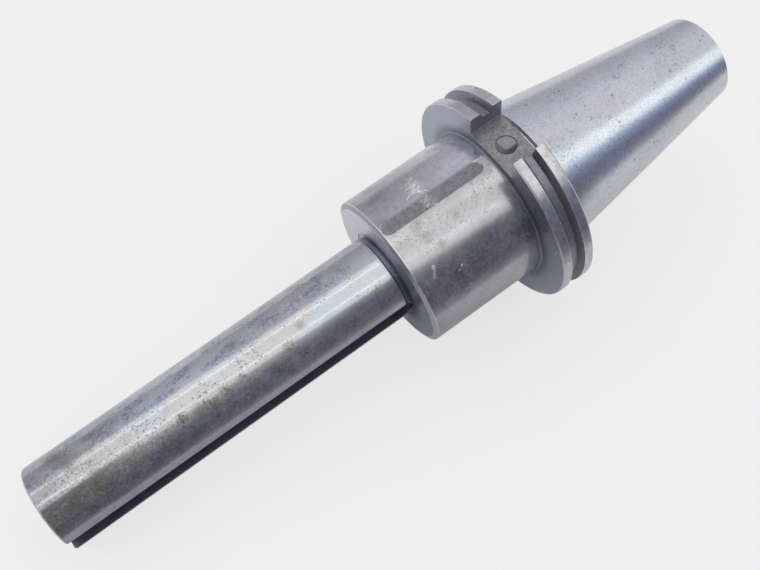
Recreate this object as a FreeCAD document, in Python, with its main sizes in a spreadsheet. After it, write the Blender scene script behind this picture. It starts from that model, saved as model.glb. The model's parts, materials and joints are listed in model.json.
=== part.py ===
import FreeCAD, Part
import os
import Sketcher

# A stub arbor with a 7/24 steep taper: one tool of hardened, ground steel, made here in its four
# sections, which meet face to face. The tool axis is X and points from the taper to the nose. The
# origin is the centre of the gauge line, where the taper has its largest diameter. The drive slots
# face up and down (Z), and the keyway faces +Y.

SIZES = {
    # Taper shank, measured back from the gauge line
    "gauge_dia": 69.85,
    "taper_length": 101.6,
    "taper_rise": 7,
    "taper_run": 24,
    "tail_chamfer": 0.5,
    "neck_depth": 1.1,
    # Socket for the retention knob, in the small end of the taper
    "knob_thread_dia": 22.2,
    "knob_thread_depth": 55,
    "knob_pilot_dia": 26.2,
    "knob_pilot_depth": 6,
    "knob_mouth_chamfer": 1,
    # Flange: a rim with a V groove for the tool changer and two slots for the drive keys
    "flange_setback": 3.175,
    "flange_width": 15.875,
    "flange_dia": 98.425,
    "flange_chamfer": 0.6,
    "vee_width": 7.05,
    "vee_depth": 3.2,
    "vee_angle": 60,
    "slot_width": 25.9,
    "slot_floor": 37.7,
    "slot_chamfer": 0.4,
    "dimple_dia": 9.2,
    "dimple_angle": 118,
    # Collar that the cutter is clamped against
    "collar_dia": 69.85,
    "collar_length": 55.55,
    "collar_edge_length": 1.05,
    "collar_edge_depth": 2.4,
    "collar_fillet": 1.0,
    "panel_length": 49.6,
    "panel_width": 6.2,
    "panel_depth": 0.35,
    "panel_setback": 4.4,
    "panel_offset": 0.7,
    "seat_ring_width": 1.6,
    "seat_ring_depth": 0.3,
    # Arbor that carries the cutter
    "arbor_dia": 38.1,
    "arbor_length": 165.1,
    "arbor_chamfer": 0.8,
    "undercut_width": 2.2,
    "undercut_depth": 0.5,
    "keyway_width": 9.525,
    "keyway_depth": 4.9,
    # Tapped hole in the nose, for the screw that holds the cutter
    "nose_thread_dia": 17.5,
    "nose_thread_depth": 44,
    "nose_mouth_dia": 21,
    "centre_angle": 60,
    "drill_angle": 118,
    # How far a cutting outline starts outside the surface that it cuts
    "overrun": 2,
}

# Sizes that follow from the sheet
TAPER_SLOPE = "(dims.taper_rise / dims.taper_run / 2)"
NECK_RADIUS = "(dims.gauge_dia / 2 - dims.neck_depth)"
FLANGE_RADIUS = "(dims.flange_dia / 2)"
COLLAR_RADIUS = "(dims.collar_dia / 2)"
ARBOR_RADIUS = "(dims.arbor_dia / 2)"
CORE_RADIUS = "(dims.arbor_dia / 2 - dims.undercut_depth)"
COLLAR_START = "(dims.flange_setback + dims.flange_width)"
SHOULDER = "(dims.flange_setback + dims.flange_width + dims.collar_length)"


def make_sheet(doc):
    sheet = doc.addObject("Spreadsheet::Sheet", "dims")
    for row, (name, value) in enumerate(SIZES.items(), start=1):
        sheet.set(f"A{row}", name)
        sheet.set(f"B{row}", str(value))
        sheet.setAlias(f"B{row}", name)
    doc.recompute()
    return sheet


def make_body(doc, name, start):
    """A body whose own origin lies on the tool axis, at the given distance from the gauge line."""
    body = doc.addObject("PartDesign::Body", name)
    body.Label = name
    body.setExpression(".Placement.Base.x", start)
    return body


def origin_plane(body, role):
    return next(item for item in body.Origin.OriginFeatures if item.Role == role)


def make_sketch(body, name, role, offset=None):
    """A sketch on one of the body's own origin planes, moved along the plane's normal by offset."""
    sketch = body.newObject("Sketcher::SketchObject", name)
    sketch.AttachmentSupport = [(origin_plane(body, role), "")]
    sketch.MapMode = "FlatFace"
    if offset:
        sketch.setExpression(".AttachmentOffset.Base.z", offset)
    return sketch


def value_of(sketch, text):
    return float(sketch.evalExpression(text))


def place_of(sketch, across, up):
    return FreeCAD.Vector(value_of(sketch, across), value_of(sketch, up), 0)


def pin_point(sketch, line, across, up):
    """Hold the first end of a line at the place that two expressions give."""
    for kind, text in (("DistanceX", across), ("DistanceY", up)):
        if text == "0":
            axis = -2 if kind == "DistanceX" else -1
            sketch.addConstraint(Sketcher.Constraint("PointOnObject", line, 1, axis))
            continue
        value = value_of(sketch, text)
        index = sketch.addConstraint(Sketcher.Constraint(kind, -1, 1, line, 1, value))
        sketch.setExpression(f"Constraints[{index}]", text)


def pin_centre(sketch, arc, across):
    """Hold the centre of an arc, whose two ends are held already, at a distance from the axis."""
    value = value_of(sketch, across)
    index = sketch.addConstraint(Sketcher.Constraint("DistanceX", -1, 1, arc, 3, value))
    sketch.setExpression(f"Constraints[{index}]", across)


def draw_outline(sketch, corners, arcs=None):
    """Draw a closed outline through corners, each a pair of expressions. arcs maps the index of
    a side to its centre: that side is an arc that runs counter-clockwise to the next corner."""
    arcs = arcs or {}
    places = [place_of(sketch, *corner) for corner in corners]
    count = len(places)
    for side in range(count):
        start = places[side]
        end = places[(side + 1) % count]
        if side in arcs:
            centre = place_of(sketch, *arcs[side])
            circle = Part.Circle(centre, FreeCAD.Vector(0, 0, 1), (start - centre).Length)
            first = circle.parameter(start)
            last = circle.parameter(end)
            sketch.addGeometry(Part.ArcOfCircle(circle, first, last))
        else:
            sketch.addGeometry(Part.LineSegment(start, end))
    for side in range(count):
        sketch.addConstraint(Sketcher.Constraint("Coincident", side, 2, (side + 1) % count, 1))
        pin_point(sketch, side, *corners[side])
    for side, centre in arcs.items():
        pin_centre(sketch, side, centre[0])


def revolve(body, kind, name, corners, arcs=None):
    """Turn an outline about the tool axis, to add to the body or to cut from it."""
    sketch = make_sketch(body, f"{name}_sketch", "XY_Plane")
    draw_outline(sketch, corners, arcs)
    turned = body.newObject(f"PartDesign::{kind}", name)
    turned.Profile = sketch
    turned.ReferenceAxis = (sketch, ["H_Axis"])
    turned.Angle = 360
    body.Document.recompute()
    return turned


def pocket_outward(body, name, sketch):
    """Cut away everything that stands over a sketch, on the side that its plane faces."""
    pocket = body.newObject("PartDesign::Pocket", name)
    pocket.Profile = sketch
    pocket.Type = 1
    pocket.Reversed = True
    body.Document.recompute()
    return pocket


def bevel(body, name, size, edges):
    base = body.Tip
    chamfer = body.newObject("PartDesign::Chamfer", name)
    chamfer.Base = (base, edges)
    chamfer.setExpression("Size", size)
    body.Document.recompute()
    return chamfer


def drill_tip(depth, radius):
    """Where the cone that a drill leaves comes to a point."""
    return f"({depth} + {radius} / tan(dims.drill_angle / 2))"


def make_taper_shank(doc):
    """The taper, its relief neck against the flange, and the socket for the retention knob.
    The body's own origin is at the small end."""
    body = make_body(doc, "taper_shank", "-dims.taper_length")
    chamfered_radius = (
        "(dims.gauge_dia / 2 - (dims.taper_length - dims.tail_chamfer) * "
        f"{TAPER_SLOPE})"
    )
    end = "(dims.taper_length + dims.flange_setback)"
    revolve(body, "Revolution", "taper", [
        ("0", "0"),
        ("0", f"({chamfered_radius} - dims.tail_chamfer)"),
        ("dims.tail_chamfer", chamfered_radius),
        ("dims.taper_length", "(dims.gauge_dia / 2)"),
        ("(dims.taper_length + dims.neck_depth)", NECK_RADIUS),
        (end, NECK_RADIUS),
        (end, "0"),
    ])
    pilot_radius = "(dims.knob_pilot_dia / 2)"
    thread_radius = "(dims.knob_thread_dia / 2)"
    drilled_to = "(dims.knob_pilot_depth + dims.knob_thread_depth)"
    revolve(body, "Groove", "knob_socket", [
        ("0", "0"),
        ("0", f"({pilot_radius} + dims.knob_mouth_chamfer)"),
        ("dims.knob_mouth_chamfer", pilot_radius),
        ("dims.knob_pilot_depth", pilot_radius),
        ("dims.knob_pilot_depth", thread_radius),
        (drilled_to, thread_radius),
        (drill_tip(drilled_to, thread_radius), "0"),
    ])
    return body


def slot_edges(shape, sheet):
    """The straight edges of the drive slots on the two faces of the flange."""
    reach = sheet.flange_dia / 2
    near = 0.001
    chosen = []
    for number, edge in enumerate(shape.Edges, start=1):
        ends = [vertex.Point for vertex in edge.Vertexes]
        straight = edge.Curve.TypeId == "Part::GeomLine"
        if not straight or len(ends) != 2:
            continue
        on_face = any(
            all(abs(point.x - face) < near for point in ends) for face in (0, sheet.flange_width)
        )
        on_slot = all(abs(point.z) > sheet.slot_floor - near for point in ends)
        inside = all(abs(point.z) < reach for point in ends)
        if on_face and on_slot and inside:
            chosen.append(f"Edge{number}")
    return chosen


def make_drive_flange(doc, sheet):
    """The rim with its V groove, the two drive slots and the dimple in the upper slot's floor.
    The body's own origin is at the rear face."""
    body = make_body(doc, "drive_flange", "dims.flange_setback")
    flank = "(dims.vee_depth * tan(dims.vee_angle / 2))"
    vee_rear = "((dims.flange_width - dims.vee_width) / 2)"
    vee_front = "((dims.flange_width + dims.vee_width) / 2)"
    vee_floor = f"({FLANGE_RADIUS} - dims.vee_depth)"
    rim_shoulder = f"({FLANGE_RADIUS} - dims.flange_chamfer)"
    revolve(body, "Revolution", "rim", [
        ("0", "0"),
        ("0", rim_shoulder),
        ("dims.flange_chamfer", FLANGE_RADIUS),
        (vee_rear, FLANGE_RADIUS),
        (f"({vee_rear} + {flank})", vee_floor),
        (f"({vee_front} - {flank})", vee_floor),
        (vee_front, FLANGE_RADIUS),
        ("(dims.flange_width - dims.flange_chamfer)", FLANGE_RADIUS),
        ("dims.flange_width", rim_shoulder),
        ("dims.flange_width", "0"),
    ])

    # The slots go right through the rim along the axis, so their outline is drawn across it
    slot_sketch = make_sketch(body, "slot_sketch", "YZ_Plane")
    top = f"({FLANGE_RADIUS} + dims.overrun)"
    draw_outline(slot_sketch, [
        ("-dims.slot_width / 2", "dims.slot_floor"),
        ("dims.slot_width / 2", "dims.slot_floor"),
        ("dims.slot_width / 2", top),
        ("-dims.slot_width / 2", top),
    ])
    slot = pocket_outward(body, "drive_slot", slot_sketch)
    slots = body.newObject("PartDesign::PolarPattern", "drive_slots")
    slots.Originals = [slot]
    slots.Axis = (slot_sketch, ["N_Axis"])
    slots.Angle = 360
    slots.Occurrences = 2
    body.Tip = slots
    doc.recompute()
    bevel(body, "slot_rims", "dims.slot_chamfer", slot_edges(body.Tip.Shape, sheet))
    make_dimple(body)
    return body


def make_dimple(body):
    """The drilled dimple in the middle of the upper slot's floor."""
    sketch = make_sketch(body, "dimple_sketch", "XZ_Plane")
    middle = "(dims.flange_width / 2)"
    edge = "((dims.flange_width + dims.dimple_dia) / 2)"
    mouth = "(dims.slot_floor + dims.overrun)"
    tip = "(dims.slot_floor - dims.dimple_dia / 2 / tan(dims.dimple_angle / 2))"
    draw_outline(sketch, [
        (middle, tip),
        (edge, "dims.slot_floor"),
        (edge, mouth),
        (middle, mouth),
    ])
    dimple = body.newObject("PartDesign::Groove", "dimple")
    dimple.Profile = sketch
    dimple.ReferenceAxis = (sketch, ["Edge4"])
    dimple.Angle = 360
    body.Document.recompute()


def make_collar(doc):
    """The plain collar, with a fillet against the flange, the long panel milled along its top
    and the shallow ring that clears a cutter's bore edge. The body's own origin is at the flange."""
    body = make_body(doc, "shoulder_collar", COLLAR_START)
    fillet_top = f"({COLLAR_RADIUS} + dims.collar_fillet)"
    edge_start = "(dims.collar_length - dims.collar_edge_length)"
    ring_floor = "(dims.collar_length - dims.seat_ring_depth)"
    ring_radius = f"({ARBOR_RADIUS} + dims.seat_ring_width)"
    revolve(body, "Revolution", "collar", [
        ("0", "0"),
        ("0", fillet_top),
        ("dims.collar_fillet", COLLAR_RADIUS),
        (edge_start, COLLAR_RADIUS),
        ("dims.collar_length", f"({COLLAR_RADIUS} - dims.collar_edge_depth)"),
        ("dims.collar_length", ring_radius),
        (ring_floor, ring_radius),
        (ring_floor, CORE_RADIUS),
        ("dims.collar_length", CORE_RADIUS),
        ("dims.collar_length", "0"),
    ], {1: ("dims.collar_fillet", fillet_top)})

    panel_sketch = make_sketch(
        body, "panel_sketch", "XY_Plane", f"{COLLAR_RADIUS} - dims.panel_depth"
    )
    draw_panel(panel_sketch)
    pocket_outward(body, "panel", panel_sketch)
    return body


def draw_panel(sketch):
    """A long panel with round ends: two straight sides and a half circle at each end."""
    half = "(dims.panel_width / 2)"
    near = f"(dims.panel_setback + {half})"
    far = f"(dims.panel_setback + dims.panel_length - {half})"
    right = f"(-dims.panel_offset - {half})"
    left = f"({half} - dims.panel_offset)"
    draw_outline(sketch, [
        (near, right),
        (far, right),
        (far, left),
        (near, left),
    ], {
        1: (far, "-dims.panel_offset"),
        3: (near, "-dims.panel_offset"),
    })


def make_arbor(doc):
    """The straight arbor, with its undercut root, full-length keyway and tapped nose. The body's
    own origin is at the collar's shoulder."""
    body = make_body(doc, "arbor_shaft", SHOULDER)
    revolve(body, "Revolution", "shaft", [
        ("0", "0"),
        ("0", CORE_RADIUS),
        ("dims.undercut_width", CORE_RADIUS),
        ("(dims.undercut_width + dims.undercut_depth)", ARBOR_RADIUS),
        ("(dims.arbor_length - dims.arbor_chamfer)", ARBOR_RADIUS),
        ("dims.arbor_length", f"({ARBOR_RADIUS} - dims.arbor_chamfer)"),
        ("dims.arbor_length", "0"),
    ])
    make_keyway(body)
    make_nose_hole(body)
    return body


def make_keyway(body):
    """The keyway, milled from the nose up to the shoulder, where the cutter leaves a round end."""
    floor = f"{ARBOR_RADIUS} - dims.keyway_depth"
    sketch = make_sketch(body, "keyway_sketch", "XZ_Plane", f"-({floor})")
    half = "(dims.keyway_width / 2)"
    open_end = "(dims.arbor_length + dims.overrun)"
    draw_outline(sketch, [
        (half, f"-{half}"),
        (open_end, f"-{half}"),
        (open_end, half),
        (half, half),
    ], {3: (half, "0")})
    keyway = body.newObject("PartDesign::Pocket", "keyway")
    keyway.Profile = sketch
    keyway.Type = 1
    body.Document.recompute()


def make_nose_hole(body):
    """The tapped hole for the clamping screw, behind a coned centre in the nose."""
    radius = "(dims.nose_thread_dia / 2)"
    mouth_radius = "(dims.nose_mouth_dia / 2)"
    mouth = f"(({mouth_radius} - {radius}) / tan(dims.centre_angle / 2))"
    revolve(body, "Groove", "nose_hole", [
        ("dims.arbor_length", "0"),
        ("dims.arbor_length", mouth_radius),
        (f"(dims.arbor_length - {mouth})", radius),
        (f"(dims.arbor_length - {mouth} - dims.nose_thread_depth)", radius),
        (f"(dims.arbor_length - {mouth} - {drill_tip('dims.nose_thread_depth', radius)})", "0"),
    ])


def check_and_write(doc, bodies):
    failed = [item.Name for item in doc.Objects if {"Invalid", "Error"} & set(item.State)]
    if failed:
        raise RuntimeError(f"These objects did not recompute: {failed}")
    for body in bodies:
        if body.Shape.isNull() or not body.Shape.isValid():
            raise RuntimeError(f"{body.Label} has no sound shape")
    os.makedirs("parts", exist_ok=True)
    for body in bodies:
        body.Shape.exportStep(f"parts/{body.Label}.step")


def main():
    doc = FreeCAD.newDocument("stub_arbor")
    sheet = make_sheet(doc)
    bodies = [
        make_taper_shank(doc),
        make_drive_flange(doc, sheet),
        make_collar(doc),
        make_arbor(doc),
    ]
    doc.recompute()
    check_and_write(doc, bodies)


main()
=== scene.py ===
import json
import math

import bmesh
import bpy
from mathutils import Matrix, Vector


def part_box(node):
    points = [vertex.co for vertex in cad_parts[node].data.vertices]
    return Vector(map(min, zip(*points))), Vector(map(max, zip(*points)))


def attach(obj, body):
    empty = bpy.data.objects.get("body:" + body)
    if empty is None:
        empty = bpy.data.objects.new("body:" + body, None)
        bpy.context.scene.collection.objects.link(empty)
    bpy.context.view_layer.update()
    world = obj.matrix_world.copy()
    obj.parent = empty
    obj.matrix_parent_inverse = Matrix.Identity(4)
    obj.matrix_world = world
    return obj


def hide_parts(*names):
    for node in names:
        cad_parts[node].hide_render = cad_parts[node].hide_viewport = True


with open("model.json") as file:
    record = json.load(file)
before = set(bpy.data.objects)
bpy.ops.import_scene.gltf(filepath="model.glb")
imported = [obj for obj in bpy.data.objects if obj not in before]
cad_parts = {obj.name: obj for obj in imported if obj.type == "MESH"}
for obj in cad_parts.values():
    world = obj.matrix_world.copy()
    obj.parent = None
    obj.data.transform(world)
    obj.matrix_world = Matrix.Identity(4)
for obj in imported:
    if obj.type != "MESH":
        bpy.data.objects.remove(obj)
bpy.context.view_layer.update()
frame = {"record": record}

# The stub arbor as it lies on a pale table: worn, pitted steel, seen from above its nose end.
# Everything is in metres, in the part's own frame: X is the tool axis and points to the nose, the
# drive slots face up and down, and the keyway faces +Y.

MM = 0.001

# Places along the axis and radii, read from the frame
taper_low, taper_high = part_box("taper_shank")
flange_low, flange_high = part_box("drive_flange")
_, collar_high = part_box("shoulder_collar")
arbor_low, arbor_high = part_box("arbor_shaft")
mounts = {mount["name"]: mount for mount in frame["record"]["mounts"]}

TAIL_X = taper_low.x
FLANGE_REAR_X = flange_low.x
FLANGE_FRONT_X = flange_high.x
FLANGE_MIDDLE_X = (FLANGE_REAR_X + FLANGE_FRONT_X) / 2
SHOULDER_X = arbor_low.x
NOSE_X = arbor_high.x
GAUGE_R = taper_high.y
FLANGE_R = flange_high.y
ARBOR_R = mounts["arbor_seat"]["dims"]["r_mm"] * MM

# Sizes of the taper shank
TAPER_SLOPE = 7 / 24 / 2
TAIL_CHAMFER = 0.5 * MM
NECK_DEPTH = 1.1 * MM
KNOB_PILOT_R = mounts["knob_pilot"]["dims"]["r_mm"] * MM
KNOB_PILOT_DEPTH = 6 * MM
KNOB_CREST_R = mounts["knob_thread"]["dims"]["r_mm"] * MM
KNOB_ROOT_R = 12.7 * MM
KNOB_PITCH = 25.4 / 8 * MM
KNOB_DEPTH = mounts["knob_thread"]["dims"]["length_mm"] * MM

# Sizes of the flange
FLANGE_CHAMFER = 0.6 * MM
VEE_WIDTH = 7.05 * MM
VEE_DEPTH = 3.2 * MM
VEE_FLANK = VEE_DEPTH * math.tan(math.radians(30))
SLOT_WIDTH = 25.9 * MM
SLOT_FLOOR = 37.7 * MM
DIMPLE_R = 4.6 * MM
DRILL_HALF_ANGLE = math.radians(59)

# Sizes of the collar
COLLAR_FILLET = 1.0 * MM
COLLAR_R = collar_high.y - COLLAR_FILLET
COLLAR_EDGE_LENGTH = 1.05 * MM
COLLAR_EDGE_DEPTH = 2.4 * MM
PANEL_LENGTH = 49.6 * MM
PANEL_WIDTH = 6.2 * MM
PANEL_DEPTH = 0.35 * MM
PANEL_SETBACK = 4.4 * MM
PANEL_OFFSET = 0.7 * MM
PANEL_CUTTER_HEIGHT = 3 * MM
SEAT_RING_WIDTH = 1.6 * MM
SEAT_RING_DEPTH = 0.3 * MM

# Sizes of the arbor
ARBOR_CHAMFER = 0.8 * MM
UNDERCUT_WIDTH = 2.2 * MM
UNDERCUT_DEPTH = 0.5 * MM
KEYWAY_WIDTH = 9.525 * MM
KEYWAY_FLOOR = ARBOR_R - 4.9 * MM
KEYWAY_CUTTER_HEIGHT = 10 * MM
KEYWAY_OVERRUN = 20 * MM
NOSE_MOUTH_R = 10.5 * MM
NOSE_CREST_R = mounts["nose_thread"]["dims"]["r_mm"] * MM
NOSE_CONE_DEPTH = (NOSE_MOUTH_R - NOSE_CREST_R) / math.tan(math.radians(30))
NOSE_ROOT_R = 9.525 * MM
NOSE_PITCH = 25.4 / 16 * MM
NOSE_DEPTH = mounts["nose_thread"]["dims"]["length_mm"] * MM

# How finely round pieces are divided, how round their corners are, and the least angle of a crease
TURN_STEPS = 288
THREAD_STEPS = 48
BAR_END_STEPS = 96
DIMPLE_STEPS = 64
CORNER_ROUND = 0.12 * MM
CUT_ROUND = 0.2 * MM
CREASE_ANGLE = math.radians(28)
OVERRUN = 2 * MM


def new_piece(name, mesh):
    piece = bpy.data.objects.new(name, mesh)
    bpy.context.scene.collection.objects.link(piece)
    return piece


def finish_mesh(work, name):
    """Turn a bmesh into a mesh whose normals face outwards."""
    bmesh.ops.remove_doubles(work, verts=work.verts, dist=0.001 * MM)
    bmesh.ops.recalc_face_normals(work, faces=work.faces)
    mesh = bpy.data.meshes.new(name)
    work.to_mesh(mesh)
    work.free()
    return mesh


def lathe(name, outline):
    """A solid turned about X. The outline is a list of (x, radius) and starts and ends on the
    axis; its other corners are rounded a little first."""
    work = bmesh.new()
    corners = [work.verts.new((x, 0, radius)) for x, radius in outline]
    work.faces.new(corners)
    off_axis = [corner for corner in corners if corner.co.z > CORNER_ROUND]
    bmesh.ops.bevel(
        work, geom=off_axis, offset=CORNER_ROUND, segments=4, profile=0.5,
        affect="VERTICES", material=-1, clamp_overlap=True,
    )
    bmesh.ops.delete(work, geom=work.faces[:], context="FACES_ONLY")
    on_axis = [
        edge for edge in work.edges if all(abs(vert.co.z) < 1e-9 for vert in edge.verts)
    ]
    bmesh.ops.delete(work, geom=on_axis, context="EDGES")
    bmesh.ops.spin(
        work, geom=work.verts[:] + work.edges[:], cent=(0, 0, 0), axis=(1, 0, 0),
        angle=2 * math.pi, steps=TURN_STEPS, use_merge=True,
    )
    return new_piece(name, finish_mesh(work, name))


def block(name, low, high):
    work = bmesh.new()
    bmesh.ops.create_cube(work, size=1)
    low, high = Vector(low), Vector(high)
    bmesh.ops.transform(
        work, matrix=Matrix.Translation((low + high) / 2) @ Matrix.Diagonal((*(high - low), 1)),
        verts=work.verts,
    )
    return new_piece(name, finish_mesh(work, name))


def round_ended_bar(name, start, length, width, height):
    """A bar that lies along X, stands up along Z and has half-round ends."""
    work = bmesh.new()
    bmesh.ops.create_circle(work, cap_ends=True, radius=width / 2, segments=BAR_END_STEPS)
    bmesh.ops.translate(work, vec=(start + width / 2, 0, 0), verts=work.verts)
    far_half = [vert for vert in work.verts if vert.co.x > start + width / 2 - 1e-7]
    bmesh.ops.translate(work, vec=(length - width, 0, 0), verts=far_half)
    grown = bmesh.ops.extrude_face_region(work, geom=work.faces[:])
    lifted = [item for item in grown["geom"] if isinstance(item, bmesh.types.BMVert)]
    bmesh.ops.translate(work, vec=(0, 0, height), verts=lifted)
    return new_piece(name, finish_mesh(work, name))


def place_mesh(piece, matrix):
    piece.data.transform(matrix)
    piece.data.update()
    return piece


def bake_modifiers(piece):
    """Keep what the piece's modifiers make as its mesh."""
    shapes = bpy.context.evaluated_depsgraph_get()
    mesh = bpy.data.meshes.new_from_object(piece.evaluated_get(shapes))
    piece.modifiers.clear()
    piece.data = mesh


def cut(piece, cutter):
    trim = piece.modifiers.new("cut", "BOOLEAN")
    trim.operation = "DIFFERENCE"
    trim.solver = "EXACT"
    trim.object = cutter
    bake_modifiers(piece)
    bpy.data.objects.remove(cutter)


def round_cut_edges(piece, width=CUT_ROUND):
    """Break the sharp edges that the cuts left, and shade the turned faces smooth."""
    soft = piece.modifiers.new("broken edges", "BEVEL")
    soft.width = width
    soft.segments = 2
    soft.limit_method = "ANGLE"
    soft.angle_limit = CREASE_ANGLE
    soft.use_clamp_overlap = False
    bake_modifiers(piece)
    piece.data.shade_smooth()
    piece.data.set_sharp_from_angle(angle=CREASE_ANGLE)
    even = piece.modifiers.new("even shading", "WEIGHTED_NORMAL")
    even.keep_sharp = True
    even.weight = 60


def inner_thread(name, start, end, root_radius, crest_radius, pitch):
    """The ridge of a right-handed inner thread: a triangle swept along a helix on the wall."""
    turns = abs(end - start) / pitch
    steps = round(turns * THREAD_STEPS)
    work = bmesh.new()
    foot = root_radius + 0.1 * MM
    half = 0.44 * pitch
    ridge = [
        work.verts.new((start - half, 0, foot)),
        work.verts.new((start, 0, crest_radius)),
        work.verts.new((start + half, 0, foot)),
    ]
    work.faces.new(ridge)
    bmesh.ops.spin(
        work, geom=work.verts[:] + work.edges[:] + work.faces[:], cent=(0, 0, 0),
        axis=(1, 0, 0), angle=2 * math.pi * turns, steps=steps,
        dvec=((end - start) / steps, 0, 0),
    )
    return new_piece(name, finish_mesh(work, name))


def drill_tip(radius):
    """The length of the cone that a drill leaves at a hole's end."""
    return radius / math.tan(DRILL_HALF_ANGLE)


def make_taper_shank():
    def taper_radius(x):
        return GAUGE_R + x * TAPER_SLOPE

    chamfer_x = TAIL_X + TAIL_CHAMFER
    neck_r = GAUGE_R - NECK_DEPTH
    thread_end = TAIL_X + KNOB_PILOT_DEPTH + KNOB_DEPTH
    outline = [
        (FLANGE_REAR_X, 0),
        (FLANGE_REAR_X, neck_r),
        (NECK_DEPTH, neck_r),
        (0, GAUGE_R),
        (chamfer_x, taper_radius(chamfer_x)),
        (TAIL_X, taper_radius(chamfer_x) - TAIL_CHAMFER),
        (TAIL_X, KNOB_PILOT_R + MM),
        (TAIL_X + MM, KNOB_PILOT_R),
        (TAIL_X + KNOB_PILOT_DEPTH, KNOB_PILOT_R),
        (TAIL_X + KNOB_PILOT_DEPTH + 0.6 * MM, KNOB_ROOT_R),
        (thread_end, KNOB_ROOT_R),
        (thread_end + drill_tip(KNOB_ROOT_R), 0),
    ]
    return lathe("taper", outline)


def make_knob_thread():
    start = TAIL_X + KNOB_PILOT_DEPTH + KNOB_PITCH
    end = TAIL_X + KNOB_PILOT_DEPTH + KNOB_DEPTH - KNOB_PITCH
    return inner_thread("knob_socket_thread", start, end, KNOB_ROOT_R, KNOB_CREST_R, KNOB_PITCH)


def make_flange():
    vee_floor = FLANGE_R - VEE_DEPTH
    half_mouth = VEE_WIDTH / 2
    half_floor = half_mouth - VEE_FLANK
    flange = lathe("flange", [
        (FLANGE_REAR_X, 0),
        (FLANGE_REAR_X, FLANGE_R - FLANGE_CHAMFER),
        (FLANGE_REAR_X + FLANGE_CHAMFER, FLANGE_R),
        (FLANGE_MIDDLE_X - half_mouth, FLANGE_R),
        (FLANGE_MIDDLE_X - half_floor, vee_floor),
        (FLANGE_MIDDLE_X + half_floor, vee_floor),
        (FLANGE_MIDDLE_X + half_mouth, FLANGE_R),
        (FLANGE_FRONT_X - FLANGE_CHAMFER, FLANGE_R),
        (FLANGE_FRONT_X, FLANGE_R - FLANGE_CHAMFER),
        (FLANGE_FRONT_X, 0),
    ])
    for low, high in ((SLOT_FLOOR, FLANGE_R + OVERRUN), (-FLANGE_R - OVERRUN, -SLOT_FLOOR)):
        cut(flange, block(
            "slot_cutter",
            (FLANGE_REAR_X - OVERRUN, -SLOT_WIDTH / 2, low),
            (FLANGE_FRONT_X + OVERRUN, SLOT_WIDTH / 2, high),
        ))
    cut(flange, dimple_cutter())
    round_cut_edges(flange)
    return flange


def dimple_cutter():
    """A cone that stands on its tip, a little above the slot's floor at its wide end."""
    depth = drill_tip(DIMPLE_R)
    rise = 0.5 * MM
    wide = DIMPLE_R * (depth + rise) / depth
    work = bmesh.new()
    bmesh.ops.create_cone(
        work, cap_ends=True, segments=DIMPLE_STEPS, radius1=0, radius2=wide,
        depth=depth + rise,
    )
    middle = SLOT_FLOOR - depth + (depth + rise) / 2
    bmesh.ops.translate(work, vec=(FLANGE_MIDDLE_X, 0, middle), verts=work.verts)
    return new_piece("dimple_cutter", finish_mesh(work, "dimple_cutter"))


def fillet_corners(centre_x, centre_r, radius, start, end, count=7):
    """Corners along an arc, in degrees from the direction of +X towards growing radius."""
    corners = []
    for step in range(count):
        angle = math.radians(start + (end - start) * step / (count - 1))
        corners.append((centre_x + radius * math.cos(angle), centre_r + radius * math.sin(angle)))
    return corners


def make_collar():
    ring_x = SHOULDER_X - SEAT_RING_DEPTH
    ring_r = ARBOR_R + SEAT_RING_WIDTH
    collar = lathe("collar", [
        (FLANGE_FRONT_X, 0),
        *fillet_corners(
            FLANGE_FRONT_X + COLLAR_FILLET, COLLAR_R + COLLAR_FILLET, COLLAR_FILLET, 180, 270
        ),
        (SHOULDER_X - COLLAR_EDGE_LENGTH, COLLAR_R),
        (SHOULDER_X, COLLAR_R - COLLAR_EDGE_DEPTH),
        (SHOULDER_X, ring_r),
        (ring_x, ring_r),
        (ring_x, 0),
    ])
    panel = round_ended_bar(
        "panel_cutter", FLANGE_FRONT_X + PANEL_SETBACK, PANEL_LENGTH, PANEL_WIDTH,
        PANEL_CUTTER_HEIGHT,
    )
    cut(collar, place_mesh(
        panel, Matrix.Translation((0, -PANEL_OFFSET, COLLAR_R - PANEL_DEPTH))
    ))
    round_cut_edges(collar, 0.1 * MM)
    return collar


def make_arbor():
    core_r = ARBOR_R - UNDERCUT_DEPTH
    ring_x = SHOULDER_X - SEAT_RING_DEPTH
    thread_start = NOSE_X - NOSE_CONE_DEPTH
    thread_end = thread_start - NOSE_DEPTH
    arbor = lathe("arbor", [
        (ring_x, 0),
        (ring_x, core_r),
        (SHOULDER_X + UNDERCUT_WIDTH, core_r),
        (SHOULDER_X + UNDERCUT_WIDTH + UNDERCUT_DEPTH, ARBOR_R),
        (NOSE_X - ARBOR_CHAMFER, ARBOR_R),
        (NOSE_X, ARBOR_R - ARBOR_CHAMFER),
        (NOSE_X, NOSE_MOUTH_R),
        (thread_start + 0.5 * MM, NOSE_ROOT_R),
        (thread_end, NOSE_ROOT_R),
        (thread_end - drill_tip(NOSE_ROOT_R), 0),
    ])
    bar = round_ended_bar(
        "keyway_cutter", SHOULDER_X, NOSE_X - SHOULDER_X + KEYWAY_OVERRUN, KEYWAY_WIDTH,
        KEYWAY_CUTTER_HEIGHT,
    )
    stand_up = Matrix.Rotation(math.radians(-90), 4, "X")
    cut(arbor, place_mesh(bar, Matrix.Translation((0, KEYWAY_FLOOR, 0)) @ stand_up))
    round_cut_edges(arbor)
    return arbor


def make_nose_thread():
    start = NOSE_X - NOSE_CONE_DEPTH - NOSE_PITCH
    end = start - NOSE_DEPTH + 3 * NOSE_PITCH
    return inner_thread("nose_hole_thread", end, start, NOSE_ROOT_R, NOSE_CREST_R, NOSE_PITCH)


# Shader nodes

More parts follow.
